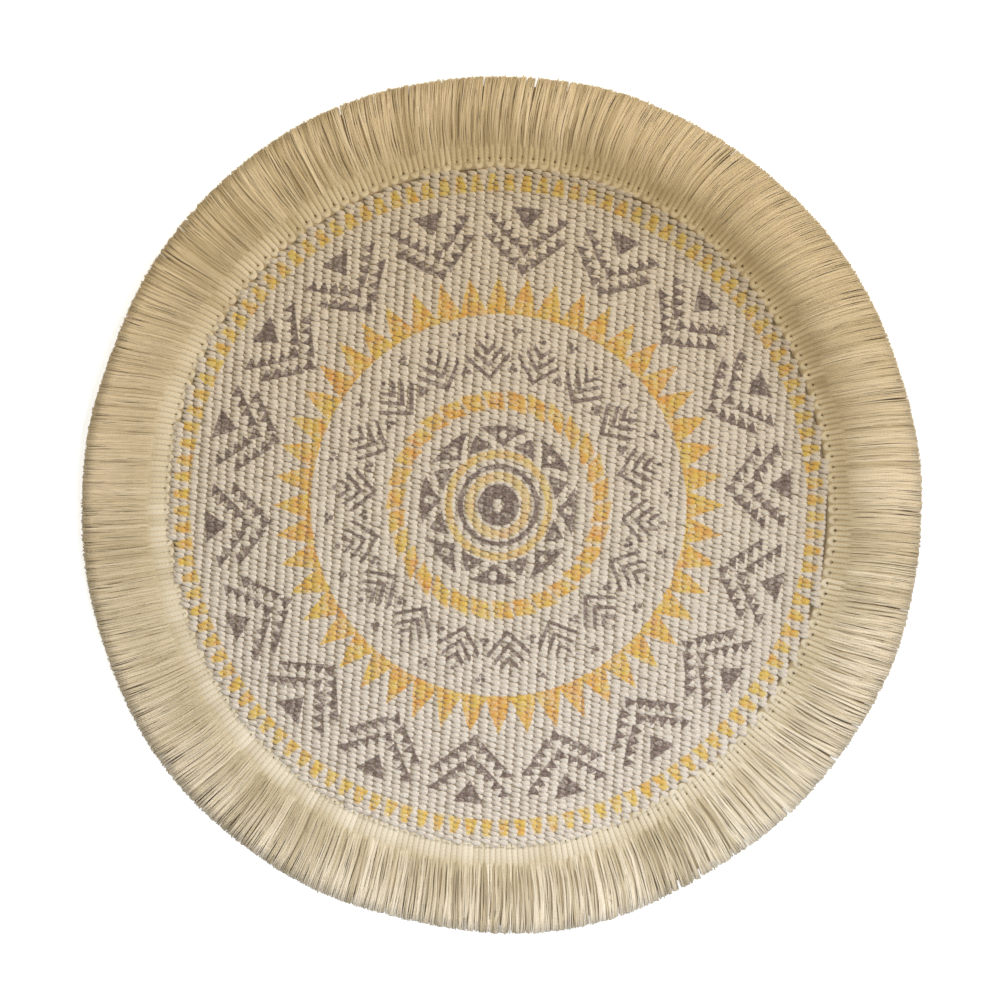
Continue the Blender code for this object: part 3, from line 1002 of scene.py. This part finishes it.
def fringe_threads(material):
    """The cut yarns, opened into fine threads, in an upper and a lower half."""
    luck = np.random.default_rng(23)
    strand = np.repeat(np.arange(STRAND_COUNT), THREADS_IN_STRAND)
    count = strand.size
    start = 2.0 * math.pi * (strand + 0.5) / STRAND_COUNT
    rings = THREAD_RINGS
    run = np.linspace(0.0, 1.0, rings)[None] ** 0.9

    place = np.tile(np.arange(THREADS_IN_STRAND), STRAND_COUNT)
    lanes = THREADS_IN_STRAND // THREAD_LAYERS
    layer = (place // lanes + luck.random(count)) / THREAD_LAYERS
    lane = -1.0 + 2.0 * (place % lanes + 0.5 + luck.uniform(-0.3, 0.3, count)) / lanes
    ply = np.where(lane > 0.0, 0.5, -0.5)
    lane = np.clip(2.0 * (lane - ply), -1.0, 1.0)
    cord = 2 * strand + (ply > 0.0)
    cords = 2 * STRAND_COUNT
    tuft = heading("tuft", start)
    cord_lift = luck.normal(0.0, 1.0, cords)[cord] * tuft
    cord_tone = (0.8 * luck.normal(0.0, 1.0, cords) + 0.35 * wandering(luck, cords, 4))[cord] * tuft
    cord_drift = (wandering(luck, cords, 6) * 1.0 + luck.normal(0.0, 0.8, cords))[cord] * tuft
    cord_drift = cord_drift * (1.0 - 0.5 * layer)
    cord_wave = luck.random(cords)[cord] * 2.0 * math.pi
    cord_cut = wandering(luck, cords, 10)[cord] * 0.4
    thread_drift = luck.normal(0.0, 1.0, count)
    thread_wave = luck.random(count) * 2.0 * math.pi
    gather = np.clip(luck.normal(0.29, 0.15, cords)[cord] * tuft, 0.0, 0.6)[:, None]

    inner = rim("heading", start)
    root = inner + THREAD_START
    tip = rim("tip", start) + (cord_cut + luck.normal(0.0, 0.28, count)) * MM
    radius = root[:, None] + (tip - root)[:, None] * run
    out = radius - inner[:, None]
    opening = ease(9.0 * MM, 18.0 * MM, out)
    half_pitch = math.pi * radius / STRAND_COUNT
    gather = gather * (1.0 - 0.9 * ease(27.0 * MM, 40.0 * MM, out))
    width = 0.5 * half_pitch * (0.92 + (0.20 - gather) * opening)
    reach = (radius - root[:, None]).clip(0.0)
    sideways = lane[:, None] * width + ply[:, None] * half_pitch
    sideways = sideways + np.tan(np.radians(cord_drift))[:, None] * reach * 0.8
    sideways = sideways + (0.25 * MM * tuft[:, None] * opening
                           * np.sin(run * 5.0 + cord_wave[:, None]))
    sideways = sideways + np.tan(np.radians(0.6 * thread_drift))[:, None] * reach
    sideways = sideways + 0.10 * MM * opening * np.sin(run * 7.0 + thread_wave[:, None])
    angle = np.stack([strand_line(strand, radius[:, k]) for k in range(rings)], axis=1)
    angle = angle + sideways / radius

    top = trim_height(start[:, None], out)
    round_off = np.sqrt(np.clip(1.0 - lane[:, None] ** 2, 0.0, 1.0))
    bundle = top - 0.2 * MM - 0.4 * MM * (1.0 - round_off) - 0.5 * MM * layer[:, None]
    bundle = bundle - 0.7 * MM * (1.0 - ease(5.0 * MM, 9.0 * MM, out))
    drop = THREAD_DROP * ease(28.0 * MM, 41.0 * MM, out) * (layer[:, None] ** 4)
    dome = 1.6 * MM * gather * (1.0 - round_off)
    spread = (top - 0.3 * MM - 0.8 * MM * layer[:, None] - drop - dome
              + 0.20 * MM * cord_lift[:, None] * ease(10.0 * MM, 18.0 * MM, out))
    z = bundle + (spread - bundle) * opening
    z = np.maximum(z, THREAD_RADIUS + 0.1 * MM)
    paths = np.stack((radius * np.cos(angle), radius * np.sin(angle), z), axis=2)
    thick = np.full((count, rings), THREAD_RADIUS)
    filling = 0.6 * layer ** 2 * (1.0 - 0.5 * np.minimum(tuft, 1.5))
    thick *= 1.0 + luck.normal(0.0, 0.08, (count, 1)) + filling[:, None]
    thick *= 1.0 + 0.20 * ease(15.0 * MM, 38.0 * MM, out)
    thick[:, 0] *= 0.7
    # The tone carries painted shade by angle round the rim, at the strands' edges and on the lower
    # layers; the rest goes at random by cord and thread.
    tone = 0.70 + heading("shade", start) + 0.24 * cord_tone + luck.normal(0.0, 0.22, count)
    tone = np.clip(tone + 0.42 * tuft * np.abs(lane) ** 3 + 0.12 * tuft * layer, -0.3, 1.8)

    pieces = []
    upper = np.sin(start) > 0.0
    for name, kept in (("fringe_threads_upper", upper), ("fringe_threads_lower", ~upper)):
        mesh, ring, turn = yarns(paths[kept], thick[kept], 3)
        notes = np.empty((int(kept.sum()), len(ring), 3))
        # Painted shade near the heading, and a paler tone towards the cut tips.
        notes[..., 0] = tone[kept][:, None] + painted_shade_tone(start[kept][:, None], out[kept][:, ring])
        notes[..., 0] -= 0.42 * ease(14.0 * MM, 34.0 * MM, out[kept][:, ring])
        notes[..., 1] = out[kept][:, ring]
        notes[..., 2] = thread_wave[kept][:, None]
        note(mesh, "yarn_tone", notes.reshape(-1, 3))
        pieces.append(piece_of(mesh, name, material, ["fringe"]))
    return pieces


# ---------------------------------------------------------------- floor, light and camera

def pale_floor():
    bm = bmesh.new()
    bmesh.ops.create_grid(bm, x_segments=1, y_segments=1, size=12.0)
    mesh = mesh_from(bm, "floor")
    mesh.materials.append(floor_finish())
    floor = bpy.data.objects.new("floor", mesh)
    bpy.context.scene.collection.objects.link(floor)


# name, azimuth and elevation in degrees, distance, size, power in watts, colour
LIGHTS = (
    ("key", 50.0, 32.0, 2.2, 0.8, 15.2, (1.0, 0.985, 0.90)),
    ("far", 110.0, 72.0, 1.5, 0.5, 5.1, (1.0, 0.87, 0.52)),
    ("fill", 290.0, 60.0, 0.5, 0.2, 1.35, (0.84, 0.91, 1.0)),
)
LENS = 85.0                      # in millimetres, as is the sensor
SENSOR = 36.0
VIEW_WIDTH = 0.447               # what the picture shows from left to right
VIEW_MIDDLE = (-0.22 * MM, 1.79 * MM, 3.0 * MM)


def soft_light(name, azimuth, elevation, distance, size, power, colour):
    """An area light that looks at the mat from a direction given as on the mat."""
    data = bpy.data.lights.new(name, "AREA")
    data.shape = "DISK"
    data.size = size
    data.energy = power
    data.color = colour
    light = bpy.data.objects.new(name, data)
    turn, rise = math.radians(azimuth), math.radians(elevation)
    away = Vector((math.cos(turn) * math.cos(rise), math.sin(turn) * math.cos(rise),
                   math.sin(rise)))
    light.location = away * distance
    light.rotation_mode = "QUATERNION"
    light.rotation_quaternion = away.to_track_quat("Z", "Y")
    bpy.context.scene.collection.objects.link(light)


def lights():
    for light in LIGHTS:
        soft_light(*light)
    world = bpy.data.worlds.new("studio")
    world.use_nodes = True
    world.node_tree.nodes["Background"].inputs["Color"].default_value = (0.93, 0.955, 1.0, 1.0)
    world.node_tree.nodes["Background"].inputs["Strength"].default_value = 0.18
    bpy.context.scene.world = world


def camera():
    data = bpy.data.cameras.new("camera")
    data.lens = LENS
    data.sensor_width = SENSOR
    data.clip_start = 0.05
    data.clip_end = 20.0
    view = bpy.data.objects.new("camera", data)
    x, y, z = VIEW_MIDDLE
    view.location = (x, y, VIEW_WIDTH * LENS / SENSOR + z)
    bpy.context.scene.collection.objects.link(view)
    bpy.context.scene.camera = view


def main():
    camera()
    weave = woven_finish()
    yarn = yarn_finish("fringe_yarn", YARN, YARN_SHADE, 0.03)
    looped = yarn_finish("heading_yarn", YARN, YARN_SHADE, 0.03)
    under = yarn_finish("fringe_core", CORE, CORE_SHADE, 0.0)
    ground = ground_sheet(ground_finish())
    floats = woven_floats(weave)
    core = trim_core(under)
    sewn = stitches(yarn_finish("stitch_thread_and_hole_shade", STITCH_HOLE_SHADE, STITCH_HOLE_DEEP_SHADE, 0.0))
    loops = heading_loops(looped)
    threads = fringe_threads(yarn)
    pale_floor()
    lights()
    bpy.context.scene.view_settings.view_transform = "Standard"


main()
